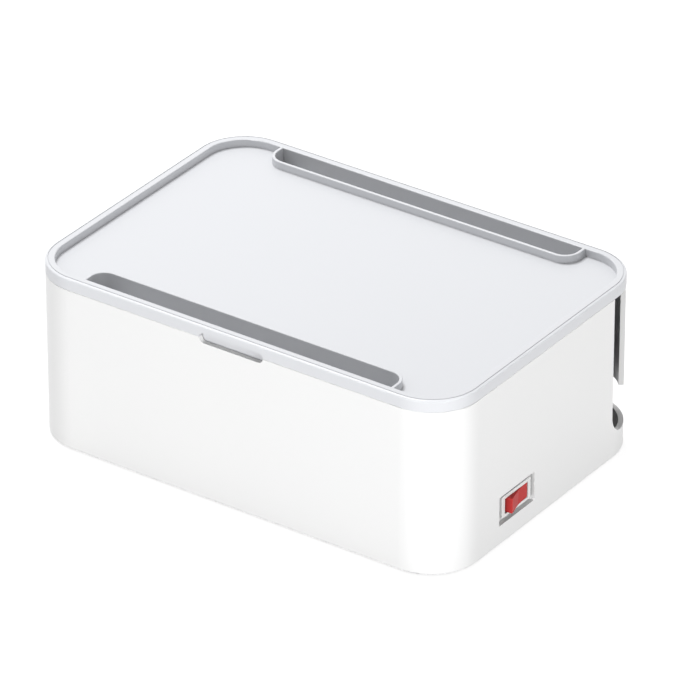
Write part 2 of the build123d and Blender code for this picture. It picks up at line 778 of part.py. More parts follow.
with BuildPart() as switch_rocker:
    with BuildSketch(rocker_plane):
        with BuildLine():
            Polyline(
                (crown_middle, 0),
                (rocker_end, rocker_half_length),
                (-rocker_skirt, skirt_half),
                (-rocker_skirt, -skirt_half),
                (rocker_end, -rocker_half_length),
                close=True,
            )
        make_face()
    extrude(amount=rocker_width / 2, both=True)
    # Every outside edge but those at the open underside and the crease over the pivot
    rocker_line = Axis(rocker_plane.origin, rocker_plane.x_dir)
    rim_edges = switch_rocker.edges().group_by(rocker_line)[0]
    crease = switch_rocker.edges().filter_by(Axis.Z).group_by(rocker_line)[1]
    fillet(switch_rocker.edges() - rim_edges - crease, rocker_edge_round)
    with BuildSketch(rocker_plane):
        with BuildLine():
            Polyline(
                (crown_middle - rocker_wall, 0),
                (rocker_end - rocker_wall, rocker_half_length - rocker_wall),
                (-2 * rocker_skirt, skirt_half - rocker_wall),
                (-2 * rocker_skirt, -skirt_half + rocker_wall),
                (rocker_end - rocker_wall, -rocker_half_length + rocker_wall),
                close=True,
            )
        make_face()
    extrude(amount=rocker_width / 2 - rocker_wall, both=True, mode=Mode.SUBTRACT)
    # Ears and stubs at the pivot
    for side in (-1, 1):
        with BuildSketch(rocker_plane.offset(side * (rocker_width / 2 - rocker_wall))):
            Circle(rocker_ear)
        extrude(amount=side * rocker_wall)
        with BuildSketch(rocker_plane.offset(side * rocker_width / 2)):
            Circle(stub_radius)
        extrude(amount=side * stub_length)
    # Sleeve for the sprung plunger
    with BuildSketch(rocker_axis.offset(-rocker_skirt)):
        Circle(plunger_radius + plunger_clearance + plunger_sleeve_wall)
    extrude(amount=crown_middle - rocker_wall / 2 + rocker_skirt)
    with BuildSketch(rocker_axis.offset(-rocker_skirt)):
        Circle(plunger_radius + plunger_clearance)
    extrude(amount=bore_end + rocker_skirt, mode=Mode.SUBTRACT)

with BuildPart() as switch_plunger:
    with BuildSketch(rocker_plane):
        with BuildLine():
            plunger_top = plunger_length - plunger_reach
            plunger_back = Line((plunger_top, 0), (plunger_top, plunger_radius))
            Line(plunger_back @ 1, (plunger_radius - plunger_reach, plunger_radius))
            plunger_tip = CenterArc((plunger_radius - plunger_reach, 0), plunger_radius, 90, 90)
            Line(plunger_tip @ 1, plunger_back @ 0)
        make_face()
    revolve(axis=rocker_line)

with BuildPart() as plunger_spring:
    spring_low = plunger_top + spring_wire + wire_gap / 2
    spring_length = bore_end - spring_wire - wire_gap / 2 - spring_low
    with BuildLine():
        coil = Helix(
            pitch=spring_length / spring_turns,
            height=spring_length,
            radius=spring_coil,
            center=rocker_axis.offset(spring_low).origin,
            direction=rocker_axis.z_dir,
        )
    with BuildSketch(Plane(origin=coil @ 0, z_dir=coil % 0)):
        Circle(spring_wire)
    sweep(is_frenet=True)

# Neon lamp under the raised half of the rocker
with BuildPart() as pilot_lamp:
    lamp_depth = rocker_wall + lamp_gap + lamp_radius
    lamp_plane = rocker_plane.rotated((0, 0, rocker_crown_slope))
    lamp_centre = rocker_plane.from_local_coords(
        (
            crown_middle + lamp_offset * sin(crown_slope) - lamp_depth * cos(crown_slope),
            -lamp_offset * cos(crown_slope) - lamp_depth * sin(crown_slope),
            0,
        )
    )
    with BuildSketch(Plane(origin=lamp_centre, z_dir=lamp_plane.y_dir)):
        Circle(lamp_radius)
    extrude(amount=lamp_length / 2, both=True)
    fillet(pilot_lamp.edges().filter_by(GeomType.CIRCLE), lamp_end_round)

# See-saw blade on the middle tab, tilted the other way
with BuildPart() as switch_blade:
    blade_plane = Plane(
        origin=(blade_axis_x, switch_y, switch_z),
        x_dir=(cos(tilt), -sin(tilt), 0),
        z_dir=(0, 0, 1),
    )
    with BuildSketch(blade_plane):
        Rectangle(blade_thickness, 2 * blade_half_length, align=(Align.MIN, Align.CENTER))
    extrude(amount=blade_width / 2, both=True)
    with BuildSketch(Plane(origin=blade_plane.origin, x_dir=(0, 0, 1), z_dir=-blade_plane.x_dir)):
        with GridLocations(0, 2 * button_reach, 1, 2):
            Circle(button_radius)
    extrude(amount=button_height)

# Contact for the blade's live end, knife edge under its middle, and the lamp's tab
with BuildPart() as switch_terminals:
    blade_seat_x = blade_axis_x - contact_gap - tab_thickness / 2
    for y, top in zip(tab_ys, (contact_x, blade_seat_x, switch_floor)):
        with BuildSketch(Plane.YZ.offset(switch_back - tab_reach)):
            with Locations((y, switch_z)):
                Rectangle(tab_thickness, tab_width)
        extrude(amount=top - switch_back + tab_reach)
    with BuildSketch(Plane.YZ.offset(contact_x)):
        with Locations((tab_ys[0], switch_z)):
            Rectangle(contact_foot, tab_width)
    extrude(amount=-contact_foot_thickness)
    with BuildSketch(Plane.XY.offset(switch_z)):
        with Locations((blade_seat_x, switch_y)):
            Circle(tab_thickness / 2)
    extrude(amount=tab_width / 2, both=True)

# ---------------------------------------------------------------- USB supply

with BuildPart() as usb_board:
    with BuildSketch(Plane.XY.offset(board_bottom)):
        with Locations((board_x, strip_offset_y)):
            RectangleRounded(board_length, board_width, board_thickness)
    extrude(amount=board_thickness)

with BuildPart() as usb_a_shells:
    with BuildSketch(Plane.XY.offset(board_top)):
        with Locations(*usb_a_points):
            Rectangle(usb_a_length, usb_a_width)
            Rectangle(usb_a_inside_length, usb_a_inside_width, mode=Mode.SUBTRACT)
    extrude(amount=port_height)

with BuildPart() as usb_a_tongues:
    with BuildSketch(Plane.XY.offset(board_top)):
        with Locations(*usb_a_points):
            Rectangle(usb_a_inside_length, usb_a_inside_width)
    extrude(amount=port_block_height)
    with BuildSketch(Plane.XY.offset(board_top)):
        tongue_shift = usb_a_tongue_width - usb_a_inside_width / 2
        with Locations(*[(x, y + tongue_shift) for x, y in usb_a_points]):
            Rectangle(usb_a_tongue_length, usb_a_tongue_width)
    extrude(amount=port_height - tongue_sunk)

with BuildPart() as usb_c_shell:
    with BuildSketch(Plane.XY.offset(board_top)):
        with Locations(usb_c_point):
            SlotOverall(usb_c_length, usb_c_width)
            SlotOverall(usb_c_inside_length, usb_c_inside_width, mode=Mode.SUBTRACT)
    extrude(amount=port_height)

with BuildPart() as usb_c_tongue:
    with BuildSketch(Plane.XY.offset(board_top)):
        with Locations(usb_c_point):
            SlotOverall(usb_c_inside_length, usb_c_inside_width)
    extrude(amount=port_block_height)
    with BuildSketch(Plane.XY.offset(board_top)):
        with Locations(usb_c_point):
            Rectangle(usb_c_tongue_length, usb_c_tongue_width)
    extrude(amount=port_height - tongue_sunk)

# Ferrite frame round a wound bobbin, hung under the board
with BuildPart() as transformer:
    with BuildSketch(Plane.XZ.offset(-strip_offset_y + transformer_shift)):
        with Locations((board_x, board_bottom - transformer_height / 2)):
            Rectangle(transformer_length, transformer_height)
            Rectangle(core_inside_length, core_inside_height, mode=Mode.SUBTRACT)
    extrude(amount=core_wall, both=True)
    with BuildSketch(Plane.XZ.offset(-strip_offset_y + transformer_shift)):
        with Locations((board_x, board_bottom - transformer_height / 2)):
            Rectangle(core_inside_length, core_inside_height)
    extrude(amount=transformer_width / 2, both=True)

with BuildPart() as capacitors:
    with BuildSketch(Plane.XY.offset(board_bottom)):
        with Locations((board_x, strip_offset_y + capacitor_shift)):
            with GridLocations(capacitor_pitch, 0, 2, 1):
                Circle(capacitor_radius)
    extrude(amount=-capacitor_height)
    fillet(capacitors.faces().group_by(Axis.Z)[0].edges(), capacitor_round)

# ---------------------------------------------------------------- wires and gland

floor_wire_z = strip_inside_low + link_wire_radius + wire_gap
link_wire_x = rail_right + link_wire_radius + wire_gap
link_wires = []
for side, tab_y in ((-1, tab_ys[0]), (1, tab_ys[-1])):
    with BuildPart() as link_wire:
        with BuildLine() as link_route:
            FilletPolyline(
                (switch_back - tab_reach - wire_gap, tab_y, switch_z),
                (switch_back - tab_reach - 2 * link_wire_bend, tab_y, switch_z),
                (switch_back - tab_reach - 2 * link_wire_bend, tab_y, floor_wire_z),
                (link_wire_x, strip_offset_y + side * rail_reach_y, floor_wire_z),
                (link_wire_x, strip_offset_y + side * rail_reach_y, rail_bottom + rail_height / 2),
                radius=link_wire_bend,
            )
        with BuildSketch(Plane(origin=link_route.line @ 0, z_dir=link_route.line % 0)):
            Circle(link_wire_radius)
        sweep()
    link_wires.append(link_wire)
live_link, lamp_link = link_wires

with BuildPart() as usb_leads:
    for side in (-1, 1):
        lead_y = strip_offset_y + side * rail_reach_y
        with BuildLine() as lead_route:
            FilletPolyline(
                (rail_right - link_wire_radius, lead_y, rail_bottom + rail_height + wire_gap),
                (rail_right - link_wire_radius, lead_y, usb_lead_z),
                (board_x - board_length / 2 + column_inset, lead_y, usb_lead_z),
                (board_x - board_length / 2 + column_inset, lead_y, board_bottom - wire_gap),
                radius=usb_wire_bend,
            )
        with BuildSketch(Plane(origin=lead_route.line @ 0, z_dir=lead_route.line % 0)):
            Circle(usb_wire_radius)
        sweep()

with BuildPart() as cord_gland:
    gland_end = strip_wall + gland_flange_thickness
    gland_plane = Plane(
        origin=(strip_left, strip_offset_y, gland_z),
        x_dir=(1, 0, 0),
        z_dir=(0, -1, 0),
    )
    with BuildSketch(gland_plane):
        with BuildLine():
            Polyline(
                (-gland_flange_thickness, gland_bore),
                (-gland_flange_thickness, gland_flange),
                (0, gland_flange),
                (0, gland_neck),
                (strip_wall + gland_clearance, gland_neck),
                (strip_wall + gland_clearance, gland_inner_flange),
                (gland_end, gland_neck),
                (gland_end, gland_bore),
                close=True,
            )
        make_face()
    revolve(axis=Axis(gland_plane.origin, gland_plane.x_dir))
    fillet(cord_gland.edges().group_by(Axis.X)[0].sort_by(SortBy.LENGTH)[-1], gland_edge_round)

# ---------------------------------------------------------------- export

pieces = {
    "box_shell": box_shell,
    "rubber_feet": rubber_feet,
    "lid_tray": lid_tray,
    "strip_base": strip_base,
    "strip_cover": strip_cover,
    "strip_screws": strip_screws,
    "mount_screws": mount_screws,
    "live_rail": live_rail,
    "neutral_rail": neutral_rail,
    "earth_rail": earth_rail,
    "switch_housing": switch_housing,
    "switch_rocker": switch_rocker,
    "switch_plunger": switch_plunger,
    "plunger_spring": plunger_spring,
    "pilot_lamp": pilot_lamp,
    "switch_blade": switch_blade,
    "switch_terminals": switch_terminals,
    "usb_board": usb_board,
    "usb_a_shells": usb_a_shells,
    "usb_a_tongues": usb_a_tongues,
    "usb_c_shell": usb_c_shell,
    "usb_c_tongue": usb_c_tongue,
    "transformer": transformer,
    "capacitors": capacitors,
    "live_link": live_link,
    "lamp_link": lamp_link,
    "usb_leads": usb_leads,
    "cord_gland": cord_gland,
}
for number, cup in enumerate(socket_cups, start=1):
    pieces[f"socket_cup_{number}"] = cup

os.makedirs("parts", exist_ok=True)
for name, piece in pieces.items():
    piece.part.label = name
    export_step(piece.part, f"parts/{name}.step")
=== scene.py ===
from math import cos, pi, radians, sin

import bmesh
import bpy
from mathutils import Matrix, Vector


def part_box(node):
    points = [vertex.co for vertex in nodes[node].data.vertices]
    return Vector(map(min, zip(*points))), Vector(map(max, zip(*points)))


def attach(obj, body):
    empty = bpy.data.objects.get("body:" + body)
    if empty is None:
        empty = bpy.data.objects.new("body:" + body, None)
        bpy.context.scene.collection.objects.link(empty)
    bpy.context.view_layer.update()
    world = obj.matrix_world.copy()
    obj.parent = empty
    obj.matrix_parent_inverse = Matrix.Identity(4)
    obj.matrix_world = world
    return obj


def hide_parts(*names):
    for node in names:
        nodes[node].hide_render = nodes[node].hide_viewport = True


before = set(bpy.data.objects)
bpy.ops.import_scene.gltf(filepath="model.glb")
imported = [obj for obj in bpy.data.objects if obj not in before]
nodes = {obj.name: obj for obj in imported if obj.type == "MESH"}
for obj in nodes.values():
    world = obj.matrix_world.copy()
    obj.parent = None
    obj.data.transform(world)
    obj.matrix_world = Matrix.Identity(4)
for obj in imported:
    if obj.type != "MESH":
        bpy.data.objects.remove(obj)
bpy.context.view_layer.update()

# ---------------------------------------------------------------- camera
# A long lens looks at the box from its front right, a little above it, so that its upright edges
# stay nearly upright.

camera_azimuth = radians(35.0)
camera_elevation = radians(30.0)
camera_distance = 3.9488
camera_lens = 345.2
camera_reach = 3 * camera_distance
camera_target = Vector((0.01042, 0.0, 0.0616))

camera_back = Vector((
    sin(camera_azimuth) * cos(camera_elevation),
    -cos(camera_azimuth) * cos(camera_elevation),
    sin(camera_elevation),
))
camera_data = bpy.data.cameras.new("camera")
camera_data.lens = camera_lens
camera_data.clip_end = camera_reach
camera = bpy.data.objects.new("camera", camera_data)
camera.location = camera_target + camera_back * camera_distance
camera.rotation_mode = "QUATERNION"
camera.rotation_quaternion = (-camera_back).to_track_quat("-Z", "Y")
bpy.context.scene.collection.objects.link(camera)
bpy.context.scene.camera = camera

# ---------------------------------------------------------------- studio
# A plain room with three soft boxes: one high up, behind the box and to its left, and two long low
# ones far off near the floor, in front of the box and to its right, too low to light the tray. The
# floor and the room are white to the camera and in reflections, and the floor keeps the shadow.

room_strength = 0.45
top_power = 37.5
top_size = 0.9
top_place = Vector((-0.75, 0.3, 2.1))
low_length = 1.8
low_height = 0.1
low_lift = 0.056
low_distance = 3.0
right_power = 47.0
right_azimuth = radians(68.0)
front_power = 44.0
front_azimuth = radians(6.0)
floor_size = 12.0
pure_white = (1.0, 1.0, 1.0, 1.0)
floor_glow = 0.85
floor_colour = (0.3, 0.3, 0.3, 1.0)


def seen_by(tree, ray):
    """Adds the three kinds of ray that look at the studio, and returns their socket."""
    first = tree.nodes.new("ShaderNodeMath")
    both = tree.nodes.new("ShaderNodeMath")
    first.operation = both.operation = "MAXIMUM"
    tree.links.new(ray.outputs["Is Camera Ray"], first.inputs[0])
    tree.links.new(ray.outputs["Is Glossy Ray"], first.inputs[1])
    tree.links.new(first.outputs[0], both.inputs[0])
    tree.links.new(ray.outputs["Is Transmission Ray"], both.inputs[1])
    return both.outputs[0]


room = bpy.data.worlds.new("white_room")
room.use_nodes = True
room_tree = room.node_tree
room_tree.nodes.clear()
seen_ray = room_tree.nodes.new("ShaderNodeLightPath")
seen_room = room_tree.nodes.new("ShaderNodeBackground")
lit_room = room_tree.nodes.new("ShaderNodeBackground")
lit_room.inputs["Strength"].default_value = room_strength
seen_room.inputs["Color"].default_value = pure_white
lit_room.inputs["Color"].default_value = pure_white
room_mix = room_tree.nodes.new("ShaderNodeMixShader")
room_out = room_tree.nodes.new("ShaderNodeOutputWorld")
room_tree.links.new(seen_by(room_tree, seen_ray), room_mix.inputs[0])
room_tree.links.new(lit_room.outputs[0], room_mix.inputs[1])
room_tree.links.new(seen_room.outputs[0], room_mix.inputs[2])
room_tree.links.new(room_mix.outputs[0], room_out.inputs["Surface"])
bpy.context.scene.world = room

right_way = Vector((sin(right_azimuth), -cos(right_azimuth), 0.0))
front_way = Vector((sin(front_azimuth), -cos(front_azimuth), 0.0))
low_centre = Vector((0.0, 0.0, low_lift))
right_place = low_centre + right_way * low_distance
front_place = low_centre + front_way * low_distance
for name, power, width, height, place, way in (
    ("top_soft_box", top_power, top_size, top_size, top_place, top_place.normalized()),
    ("right_soft_box", right_power, low_length, low_height, right_place, right_way),
    ("front_soft_box", front_power, low_length, low_height, front_place, front_way),
):
    lamp_data = bpy.data.lights.new(name, "AREA")
    lamp_data.shape = "RECTANGLE"
    lamp_data.size = width
    lamp_data.size_y = height
    lamp_data.energy = power
    lamp = bpy.data.objects.new(name, lamp_data)
    lamp.location = place
    lamp.rotation_mode = "QUATERNION"
    lamp.rotation_quaternion = (-way).to_track_quat("-Z", "Y")
    bpy.context.scene.collection.objects.link(lamp)

bpy.ops.object.select_all(action="DESELECT")
bpy.ops.mesh.primitive_plane_add(size=floor_size)
floor = bpy.context.object
floor.name = "floor"
floor_finish = bpy.data.materials.new("floor_white")
floor_finish.use_nodes = True
floor_tree = floor_finish.node_tree
floor_tree.nodes.clear()
floor_paint = floor_tree.nodes.new("ShaderNodeBsdfDiffuse")
floor_paint.inputs["Color"].default_value = floor_colour
floor_light = floor_tree.nodes.new("ShaderNodeEmission")
floor_seen = floor_tree.nodes.new("ShaderNodeLightPath")
floor_level = floor_tree.nodes.new("ShaderNodeMath")
floor_level.operation = "MULTIPLY"
floor_level.inputs[1].default_value = floor_glow
floor_both = floor_tree.nodes.new("ShaderNodeAddShader")
floor_out = floor_tree.nodes.new("ShaderNodeOutputMaterial")
floor_tree.links.new(seen_by(floor_tree, floor_seen), floor_level.inputs[0])
floor_tree.links.new(floor_level.outputs[0], floor_light.inputs["Strength"])
floor_tree.links.new(floor_paint.outputs[0], floor_both.inputs[0])
floor_tree.links.new(floor_light.outputs[0], floor_both.inputs[1])
floor_tree.links.new(floor_both.outputs[0], floor_out.inputs["Surface"])
floor.data.materials.append(floor_finish)

bpy.context.scene.view_settings.view_transform = "Standard"
bpy.context.scene.cycles.diffuse_bounces = 1

# ---------------------------------------------------------------- case
# The tub is moulded in one piece from white ABS, with a satin skin that is a little uneven where
# the plastic flowed, and a fine spark grain too small to see from a step away.

case_white = (0.89, 0.89, 0.885, 1.0)
case_white_deep = (0.865, 0.866, 0.868, 1.0)
case_gloss = (0.30, 0.38)
drift_detail = 3.0
grain_detail = 2.0


def finish_group(name, sockets):
    """Starts the node group of a finish, with its named inputs and the three outputs that a
    material needs: a colour, a roughness and a height."""
    group = bpy.data.node_groups.new(name, "ShaderNodeTree")
    for socket_name, kind, value in sockets:
        socket = group.interface.new_socket(socket_name, in_out="INPUT", socket_type=kind)
        socket.default_value = value
    group.interface.new_socket("Colour", in_out="OUTPUT", socket_type="NodeSocketColor")
    group.interface.new_socket("Roughness", in_out="OUTPUT", socket_type="NodeSocketFloat")
    group.interface.new_socket("Height", in_out="OUTPUT", socket_type="NodeSocketFloat")
    return group, group.nodes.new("NodeGroupInput"), group.nodes.new("NodeGroupOutput")


def moulded_skin():
    """Builds the node group for moulded plastic: two close tones that drift into each other, a
    roughness that drifts with them, and a height for the sink and grain of the skin."""
    group, inside, outside = finish_group("moulded_skin", (
        ("Tone", "NodeSocketColor", (0.8, 0.8, 0.8, 1)),
        ("Second tone", "NodeSocketColor", (0.75, 0.75, 0.75, 1)),
        ("Drift scale", "NodeSocketFloat", 9.0),
        ("Grain scale", "NodeSocketFloat", 1800.0),
        ("Grain share", "NodeSocketFloat", 0.3),
        ("Smoothest", "NodeSocketFloat", 0.3),
        ("Roughest", "NodeSocketFloat", 0.4),
    ))
    place = group.nodes.new("ShaderNodeTexCoord")
    drift = group.nodes.new("ShaderNodeTexNoise")
    drift.inputs["Detail"].default_value = drift_detail
    grain = group.nodes.new("ShaderNodeTexNoise")
    grain.inputs["Detail"].default_value = grain_detail
    tone = group.nodes.new("ShaderNodeMix")
    tone.data_type = "RGBA"
    rough = group.nodes.new("ShaderNodeMapRange")
    height = group.nodes.new("ShaderNodeMix")
    link = group.links.new
    for noise, scale in ((drift, "Drift scale"), (grain, "Grain scale")):
        link(place.outputs["Object"], noise.inputs["Vector"])
        link(inside.outputs[scale], noise.inputs["Scale"])
    link(drift.outputs["Fac"], tone.inputs["Factor"])
    link(inside.outputs["Tone"], tone.inputs["A"])
    link(inside.outputs["Second tone"], tone.inputs["B"])
    link(drift.outputs["Fac"], rough.inputs["Value"])
    link(inside.outputs["Smoothest"], rough.inputs["To Min"])
    link(inside.outputs["Roughest"], rough.inputs["To Max"])
    link(inside.outputs["Grain share"], height.inputs["Factor"])
    link(drift.outputs["Fac"], height.inputs["A"])
    link(grain.outputs["Fac"], height.inputs["B"])
    link(tone.outputs["Result"], outside.inputs["Colour"])
    link(rough.outputs["Result"], outside.inputs["Roughness"])
    link(height.outputs["Result"], outside.inputs["Height"])
    return group


def finished_material(name, group, values, relief, metallic=0.0):
    """Makes a material from a finish group and the values of its inputs, with the relief in
    metres."""
    material = bpy.data.materials.new(name)
    material.use_nodes = True
    tree = material.node_tree
    shader = tree.nodes["Principled BSDF"]
    shader.inputs["Metallic"].default_value = metallic
    skin = tree.nodes.new("ShaderNodeGroup")
    skin.name = "finish"
    skin.node_tree = group
    for socket, value in values.items():
        skin.inputs[socket].default_value = value
    relief_bump = tree.nodes.new("ShaderNodeBump")
    relief_bump.inputs["Distance"].default_value = relief
    tree.links.new(skin.outputs["Height"], relief_bump.inputs["Height"])
    tree.links.new(skin.outputs["Colour"], shader.inputs["Base Color"])
    tree.links.new(skin.outputs["Roughness"], shader.inputs["Roughness"])
    tree.links.new(relief_bump.outputs["Normal"], shader.inputs["Normal"])
    return material


def moulded_plastic(name, tones, gloss, grain=1800.0, grain_share=0.3, drift=9.0, relief=0.00005):
    """Makes a plastic from its two tones and its range of roughness."""
    return finished_material(
        name,
        bpy.data.node_groups.get("moulded_skin") or moulded_skin(),
        {
            "Tone": tones[0],
            "Second tone": tones[1],
            "Drift scale": drift,
            "Grain scale": grain,
            "Grain share": grain_share,
            "Smoothest": gloss[0],
            "Roughest": gloss[1],
        },
        relief,
    )


def finish_nodes(finish, *names):
    """Gives carried-over pieces their finish."""
    for name in names:
        for place in nodes[name].material_slots:
            place.material = finish


case_finish = moulded_plastic("case_plastic", (case_white, case_white_deep), case_gloss)
finish_nodes(case_finish, "box_shell")

# ---------------------------------------------------------------- feet
# Four discs die cut from black rubber sheet. They are glued into recesses in the underside, and
# their cut faces are matt and a little rough.

foot_black = (0.028, 0.028, 0.03, 1.0)
foot_grey = (0.05, 0.05, 0.052, 1.0)
foot_gloss = (0.75, 0.9)

foot_finish = moulded_plastic(
    "foot_rubber", (foot_black, foot_grey), foot_gloss, grain=900.0, grain_share=0.7, relief=0.0002)
finish_nodes(foot_finish, "rubber_feet")

# ---------------------------------------------------------------- power strip
# A base and a cover moulded from a harder and duller white plastic, with a spark grain. Screws
# from below close them, and four more hold the strip on the case's floor.

strip_white = (0.80, 0.80, 0.79, 1.0)
strip_white_deep = (0.77, 0.77, 0.765, 1.0)
strip_gloss = (0.45, 0.55)

strip_finish = moulded_plastic(
    "strip_plastic", (strip_white, strip_white_deep), strip_gloss,
    grain=1200.0, grain_share=0.6, relief=0.0001)
finish_nodes(strip_finish, "strip_base", "strip_cover")

# ---------------------------------------------------------------- gland
# A grommet of soft white rubber, which the supply cord comes through. Its groove holds it in a
# round hole in the far end of the strip's cover.

gland_white = (0.70, 0.70, 0.69, 1.0)
gland_white_deep = (0.66, 0.66, 0.65, 1.0)
gland_gloss = (0.55, 0.65)

gland_finish = moulded_plastic("gland_rubber", (gland_white, gland_white_deep), gland_gloss)
finish_nodes(gland_finish, "cord_gland")

# ---------------------------------------------------------------- contact rails
# Live, neutral and earth are each pressed from one brass strip. The metal is rolled, so it shines
# in long streaks, and it has dulled a little between them.

brass_bright = (0.82, 0.62, 0.31, 1.0)
brass_dull = (0.74, 0.54, 0.26, 1.0)
brass_gloss = (0.22, 0.34)
rail_streaks = (40.0, 3500.0, 3500.0)
streak_detail = 4.0
streak_middle = (0.3, 0.7)


def worked_metal():
    """Builds the node group for rolled, drawn and plated metal: a bright tone and a dull one in
    streaks, whose scale may differ along each axis, with their roughness and height."""
    group, inside, outside = finish_group("worked_metal", (
        ("Bright", "NodeSocketColor", (0.8, 0.8, 0.8, 1)),
        ("Dull", "NodeSocketColor", (0.6, 0.6, 0.6, 1)),
        ("Streak scale", "NodeSocketVector", (70, 1500, 1500)),
        ("Smoothest", "NodeSocketFloat", 0.2),
        ("Roughest", "NodeSocketFloat", 0.4),
    ))
    place = group.nodes.new("ShaderNodeTexCoord")
    stretch = group.nodes.new("ShaderNodeVectorMath")
    stretch.operation = "MULTIPLY"
    streaks = group.nodes.new("ShaderNodeTexNoise")
    streaks.inputs["Scale"].default_value = 1.0
    streaks.inputs["Detail"].default_value = streak_detail
    spread = group.nodes.new("ShaderNodeMapRange")
    spread.inputs["From Min"].default_value = streak_middle[0]
    spread.inputs["From Max"].default_value = streak_middle[1]
    tone = group.nodes.new("ShaderNodeMix")
    tone.data_type = "RGBA"
    rough = group.nodes.new("ShaderNodeMapRange")
    link = group.links.new
    link(place.outputs["Object"], stretch.inputs[0])
    link(inside.outputs["Streak scale"], stretch.inputs[1])
    link(stretch.outputs["Vector"], streaks.inputs["Vector"])
    link(streaks.outputs["Fac"], spread.inputs["Value"])
    link(spread.outputs["Result"], tone.inputs["Factor"])
    link(inside.outputs["Bright"], tone.inputs["A"])
    link(inside.outputs["Dull"], tone.inputs["B"])
    link(spread.outputs["Result"], rough.inputs["Value"])
    link(inside.outputs["Smoothest"], rough.inputs["To Min"])
    link(inside.outputs["Roughest"], rough.inputs["To Max"])
    link(tone.outputs["Result"], outside.inputs["Colour"])
    link(rough.outputs["Result"], outside.inputs["Roughness"])
    link(spread.outputs["Result"], outside.inputs["Height"])
    return group


def metal(name, tones, gloss, streaks, relief=0.00002):
    """Makes a metal from its bright and dull tones, its range of roughness and its streaks."""
    return finished_material(
        name,
        bpy.data.node_groups.get("worked_metal") or worked_metal(),
        {
            "Bright": tones[0],
            "Dull": tones[1],
            "Streak scale": streaks,
            "Smoothest": gloss[0],
            "Roughest": gloss[1],
        },
        relief,
        metallic=1.0,
    )


rail_brass = metal("rail_brass", (brass_bright, brass_dull), brass_gloss, rail_streaks)
finish_nodes(rail_brass, "live_rail", "neutral_rail", "earth_rail")

# ---------------------------------------------------------------- USB board
# A glass fibre board with green solder mask over its copper tracks. Its cut edges show the pale
# fibre, and it stands on four columns of the strip's base.

mask_green = (0.012, 0.13, 0.05, 1.0)
mask_green_deep = (0.009, 0.10, 0.04, 1.0)
mask_gloss = (0.2, 0.3)
track_green = (0.03, 0.22, 0.08, 1.0)
fibre_pale = (0.62, 0.58, 0.36, 1.0)
fibre_gloss = (0.6, 0.7)
edge_upright = 0.5
track_scale = 75.0
track_width = 0.03


def second_finish(material, mask, tones, gloss):
    """Lets a second pair of tones, with its own roughness, show where the mask is 1."""
    tree = material.node_tree
    shader = tree.nodes["Principled BSDF"]
    first = tree.nodes["finish"]
    second = tree.nodes.new("ShaderNodeGroup")
    second.node_tree = first.node_tree
    for socket in first.inputs:
        second.inputs[socket.name].default_value = socket.default_value
    second.inputs["Tone"].default_value, second.inputs["Second tone"].default_value = tones
    second.inputs["Smoothest"].default_value, second.inputs["Roughest"].default_value = gloss
    for output, target, kind in (
        ("Colour", "Base Color", "RGBA"),
        ("Roughness", "Roughness", "FLOAT"),
    ):
        blend = tree.nodes.new("ShaderNodeMix")
        blend.data_type = kind
        tree.links.new(mask, blend.inputs["Factor"])
        tree.links.new(shader.inputs[target].links[0].from_socket, blend.inputs["A"])
        tree.links.new(second.outputs[output], blend.inputs["B"])
        tree.links.new(blend.outputs["Result"], shader.inputs[target])


def reckon(tree, operation, first, second=0.0):
    """Adds one step of arithmetic on sockets or numbers, and returns its result."""
    step = tree.nodes.new("ShaderNodeMath")
    step.operation = operation
    for socket, value in zip(step.inputs, (first, second)):
        if isinstance(value, (int, float)):
            socket.default_value = value
        else:
            tree.links.new(value, socket)
    return step.outputs[0]


def measured_from(tree, middle):
    """Returns how far the surface is from a point of the object, along each axis."""
    place = tree.nodes.new("ShaderNodeTexCoord")
    shift = tree.nodes.new("ShaderNodeVectorMath")
    shift.operation = "SUBTRACT"
    shift.inputs[1].default_value = middle
    split = tree.nodes.new("ShaderNodeSeparateXYZ")
    tree.links.new(place.outputs["Object"], shift.inputs[0])
    tree.links.new(shift.outputs["Vector"], split.inputs["Vector"])
    return split.outputs["X"], split.outputs["Y"], split.outputs["Z"]


def middle_of(name):
    """Returns the middle of a carried-over piece."""
    low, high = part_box(name)
    return (Vector(low) + Vector(high)) / 2


board_finish = moulded_plastic("board_mask", (mask_green, mask_green_deep), mask_gloss)
board_tree = board_finish.node_tree
tracks = board_tree.nodes.new("ShaderNodeTexBrick")
tracks.inputs["Scale"].default_value = track_scale
tracks.inputs["Mortar Size"].default_value = track_width
board_place = board_tree.nodes.new("ShaderNodeTexCoord")
board_tree.links.new(board_place.outputs["Object"], tracks.inputs["Vector"])
second_finish(board_finish, tracks.outputs["Fac"], (track_green, track_green), mask_gloss)
board_sides = board_tree.nodes.new("ShaderNodeSeparateXYZ")
board_tree.links.new(board_place.outputs["Normal"], board_sides.inputs["Vector"])
board_upright = reckon(board_tree, "ABSOLUTE", board_sides.outputs["Z"])
board_edge = reckon(board_tree, "LESS_THAN", board_upright, edge_upright)
second_finish(board_finish, board_edge, (fibre_pale, fibre_pale), fibre_gloss)
finish_nodes(board_finish, "usb_board")

# ---------------------------------------------------------------- transformer
# A frame of dark pressed ferrite stands round a bobbin, which is soldered under the board. The
# winding comes out of both ends of the frame, under yellow tape.

ferrite_grey = (0.035, 0.035, 0.038, 1.0)
ferrite_grey_deep = (0.022, 0.022, 0.024, 1.0)
ferrite_gloss = (0.45, 0.6)
tape_yellow = (0.80, 0.58, 0.03, 1.0)
tape_yellow_deep = (0.72, 0.50, 0.02, 1.0)
tape_gloss = (0.25, 0.35)
frame_half_depth = 0.003

